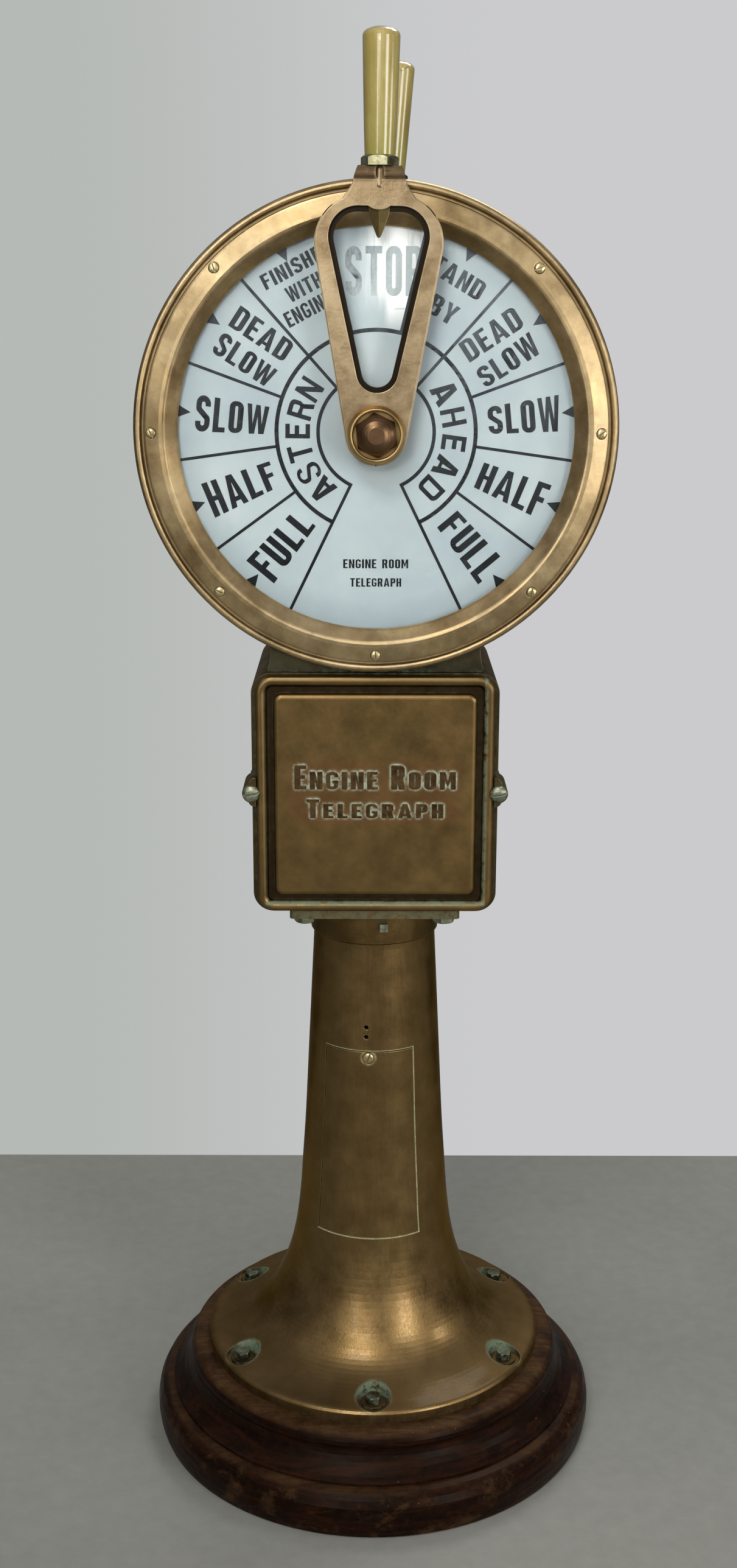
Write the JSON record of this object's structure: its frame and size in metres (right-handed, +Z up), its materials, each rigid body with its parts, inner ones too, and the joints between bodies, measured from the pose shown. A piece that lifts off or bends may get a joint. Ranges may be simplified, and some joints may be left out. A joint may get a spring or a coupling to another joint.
{
  "type": "ship engine telegraph",
  "caption": "Double-faced ship's engine telegraph: lit dials in a bronze drum with swinging handles, on a case, trumpet pedestal and turned wooden plinth.",
  "frame": {"origin": "centre of the plinth's underside, on the floor", "axes": "+Z up; the front dial faces -Y and the rear dial +Y; +X is to the right of someone facing the front dial, and is the ahead side of that dial"},
  "size_m": [0.406, 0.406, 1.215],
  "materials": {
    "varnished_wood": "dark red-brown varnish, worn to bare wood on the edges",
    "bronze": "cast bronze, rubbed bright on the fronts, brown patina elsewhere, verdigris in corners",
    "bronze_dark": "cast bronze with dark brown patina",
    "brass_bright": "turned brass, lightly tarnished",
    "steel_dull": "dull plated steel with verdigris stains",
    "spring_steel": "bright steel",
    "clear_glass": "clear polished glass",
    "opal_glass": "white opal glass with black fired lettering",
    "ivory": "aged ivory-coloured moulding, polished",
    "rubber": "matte",
    "cable_rubber": "matte braid",
    "insulation": "brown moulded insulation"
  },
  "bodies": {
    "stand": {"plinth": "varnished_wood", "plinth_bolts": "steel_dull", "plinth_washers": "bronze", "column": "bronze", "column_collar": "bronze", "collar_bolts": "steel_dull", "collar_set_screws": "steel_dull", "case_body": "bronze_dark", "case_cover": "bronze", "cover_gasket": "rubber", "cover_screws": "brass_bright", "drum_casing": "bronze_dark", "drum_foot_screws": "steel_dull", "bearing_plate": "bronze_dark", "bearing_plate_screws": "steel_dull", "shaft_bushes": "brass_bright", "contact_pillars": "brass_bright", "contact_plates": "insulation", "contact_studs": "brass_bright", "front_detent_spring": "spring_steel", "rear_detent_spring": "spring_steel", "detent_spring_screws": "steel_dull", "lamp_holders": "brass_bright", "lamp_bulbs": "clear_glass", "front_bezel": "bronze", "rear_bezel": "bronze", "front_bezel_screws": "brass_bright", "rear_bezel_screws": "brass_bright", "front_glass": "clear_glass", "rear_glass": "clear_glass", "front_dial": "opal_glass", "rear_dial": "opal_glass", "front_gasket": "rubber", "rear_gasket": "rubber", "bell_frame": "steel_dull", "bell_gong": "brass_bright", "terminal_block": "insulation", "wiring_loom": "cable_rubber"},
    "front_handle": {"front_shaft": "spring_steel", "front_lever": "bronze", "front_pointer": "bronze_dark", "front_hub_collar": "brass_bright", "front_cap_nut": "bronze_dark", "front_grip": "ivory", "front_ferrule": "steel_dull", "front_star_wheel": "brass_bright", "front_contact_arm": "brass_bright"},
    "rear_handle": {"rear_shaft": "spring_steel", "rear_lever": "bronze", "rear_pointer": "bronze_dark", "rear_hub_collar": "brass_bright", "rear_cap_nut": "bronze_dark", "rear_grip": "ivory", "rear_ferrule": "steel_dull", "rear_star_wheel": "brass_bright", "rear_contact_arm": "brass_bright"},
    "pedestal_door": {"column_door": "bronze", "door_screw": "brass_bright"},
    "bell_striker": {"bell_hammer": "steel_dull"}
  },
  "joints": [
    {"name": "front_lever_turn", "type": "hinge", "parent": "stand", "child": "front_handle", "pos_m": [0, 0, 0.92], "axis": [0, 1, 0], "range_deg": [-140, 140], "deforming": ["front_detent_spring"]},
    {"name": "rear_lever_turn", "type": "hinge", "parent": "stand", "child": "rear_handle", "pos_m": [0, 0, 0.92], "axis": [0, -1, 0], "range_deg": [-140, 140], "deforming": ["rear_detent_spring"]},
    {"name": "pedestal_door_tilt", "type": "hinge", "parent": "stand", "child": "pedestal_door", "pos_m": [-0.00603, -0.06894, 0.21], "axis": [0.9962, -0.0872, 0], "range_deg": [0, 35]},
    {"name": "bell_hammer_swing", "type": "hinge", "parent": "stand", "child": "bell_striker", "pos_m": [0.01, 0.06, 0.622], "axis": [0, 1, 0], "range_deg": [-4.2, 1.5], "stiffness_Nm_per_rad": 0.12}
  ]
}
